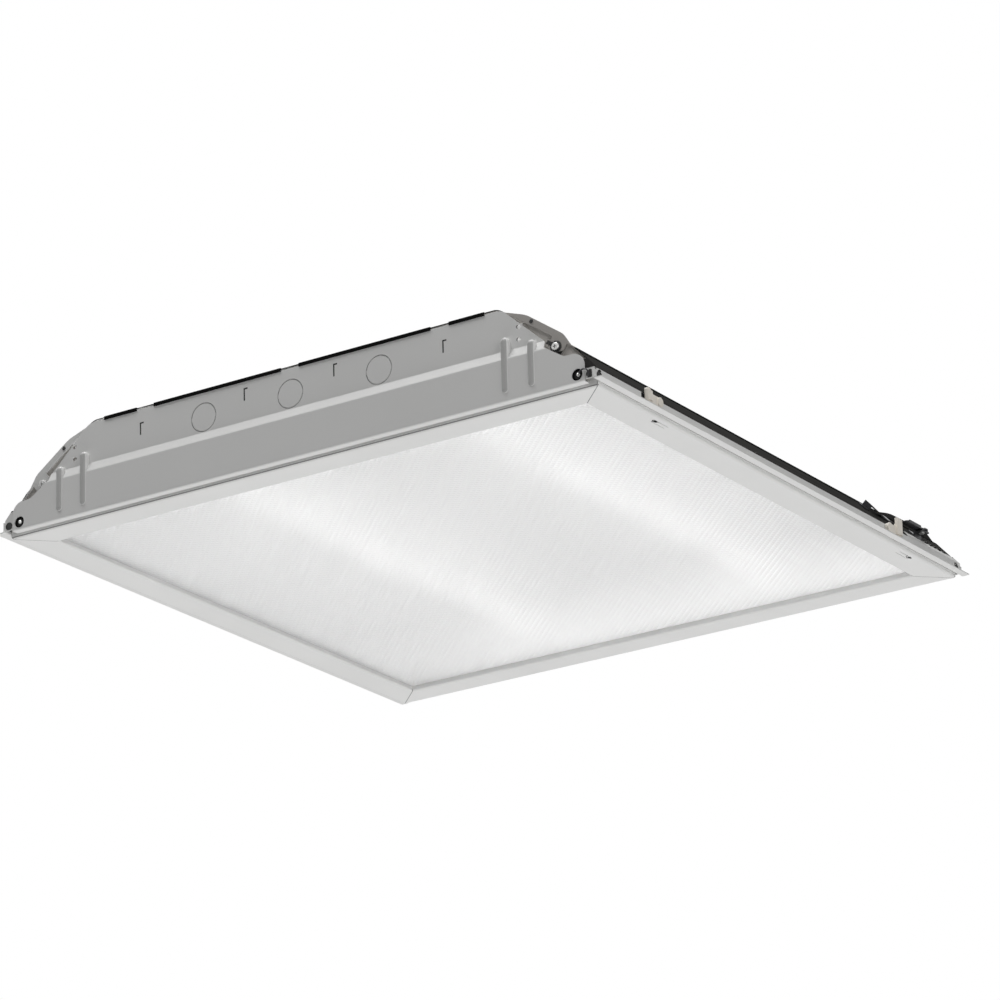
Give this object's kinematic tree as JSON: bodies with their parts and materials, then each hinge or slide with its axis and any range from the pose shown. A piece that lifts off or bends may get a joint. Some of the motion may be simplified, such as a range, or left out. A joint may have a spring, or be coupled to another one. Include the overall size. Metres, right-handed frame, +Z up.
{
  "type": "recessed troffer light",
  "caption": "Square lay-in ceiling troffer with a hinged prismatic-lens door, latches, tube lamps, sloping steel case, end plates with knockouts and grid clips.",
  "frame": {"origin": "under the centre of the face, at the lowest face of the door", "axes": "+Z up into the ceiling; +X across the near end, towards the latched side; +Y along the lamps"},
  "size_m": [0.603, 0.603, 0.086],
  "materials": {
    "white_paint": "satin white enamel",
    "pan_steel": "coated steel, darker than the end plates",
    "lens_acrylic": "prismatic, frosted white",
    "latch_plastic": "cream moulded plastic",
    "zinc_steel": "zinc plated",
    "black_steel": "black spring steel",
    "holder_plastic": "white moulded plastic",
    "lamp_glass": "white coated inside",
    "lamp_base": "satin",
    "ballast_paint": "plain enamel",
    "lead_jacket": "white jacket"
  },
  "bodies": {
    "housing": {"top_pan": "pan_steel", "end_plate_near": "white_paint", "end_plate_far": "white_paint", "corner_gussets": "zinc_steel", "corner_screws": "zinc_steel", "hinge_bracket_near": "zinc_steel", "hinge_bracket_far": "zinc_steel", "hinge_pins": "zinc_steel", "latch_rivets": "zinc_steel", "clip_post_right": "black_steel", "clip_post_left": "black_steel", "clip_rivets": "zinc_steel", "standoff_strap_right": "black_steel", "standoff_strap_left": "black_steel", "lampholder_near_right": "holder_plastic", "lampholder_near_left": "holder_plastic", "lampholder_far_right": "holder_plastic", "lampholder_far_left": "holder_plastic", "leads_near": "lead_jacket", "leads_far": "lead_jacket", "socket_bar_near": "white_paint", "socket_bar_far": "white_paint", "ballast": "ballast_paint", "ballast_cover": "white_paint", "cover_screws": "zinc_steel"},
    "door": {"door_rail_right": "white_paint", "door_rail_far": "white_paint", "door_rail_left": "white_paint", "door_rail_near": "white_paint", "corner_keys": "zinc_steel", "key_rivets": "zinc_steel", "lens": "lens_acrylic", "lens_clips": "zinc_steel", "hinge_ears_near": "zinc_steel", "hinge_ears_far": "zinc_steel"},
    "latch_near_lever": {"latch_near": "latch_plastic"},
    "latch_far_lever": {"latch_far": "latch_plastic"},
    "clip_right": {"clip_arm_right": "black_steel"},
    "clip_left": {"clip_arm_left": "black_steel"},
    "lamp_right": {"rotors_right": "holder_plastic", "lamp_bases_right": "lamp_base", "lamp_tube_right": "lamp_glass"},
    "lamp_left": {"rotors_left": "holder_plastic", "lamp_bases_left": "lamp_base", "lamp_tube_left": "lamp_glass"}
  },
  "joints": [
    {"name": "door_hinge", "type": "hinge", "parent": "housing", "child": "door", "pos_m": [-0.2895, 0, 0.003], "axis": [0, 1, 0], "range_deg": [0, 90]},
    {"name": "latch_near_turn", "type": "hinge", "parent": "housing", "child": "latch_near_lever", "pos_m": [0.2957, -0.206, 0.0115], "axis": [-1, 0, 0], "range_deg": [0, 20]},
    {"name": "latch_far_turn", "type": "hinge", "parent": "housing", "child": "latch_far_lever", "pos_m": [0.2957, 0.168, 0.0115], "axis": [1, 0, 0], "range_deg": [0, 20]},
    {"name": "clip_right_swing", "type": "hinge", "parent": "housing", "child": "clip_right", "pos_m": [0.29273, 0.234, 0.0275], "axis": [0, 0, 1], "range_deg": [0, 90]},
    {"name": "clip_left_swing", "type": "hinge", "parent": "housing", "child": "clip_left", "pos_m": [-0.29273, -0.234, 0.0275], "axis": [0, 0, 1], "range_deg": [0, 90]},
    {"name": "lamp_right_turn", "type": "hinge", "parent": "housing", "child": "lamp_right", "pos_m": [0.122, 0, 0.046], "axis": [0, 1, 0], "range_deg": [0, 90]},
    {"name": "lamp_left_turn", "type": "hinge", "parent": "housing", "child": "lamp_left", "pos_m": [-0.122, 0, 0.046], "axis": [0, 1, 0], "range_deg": [0, 90]}
  ]
}
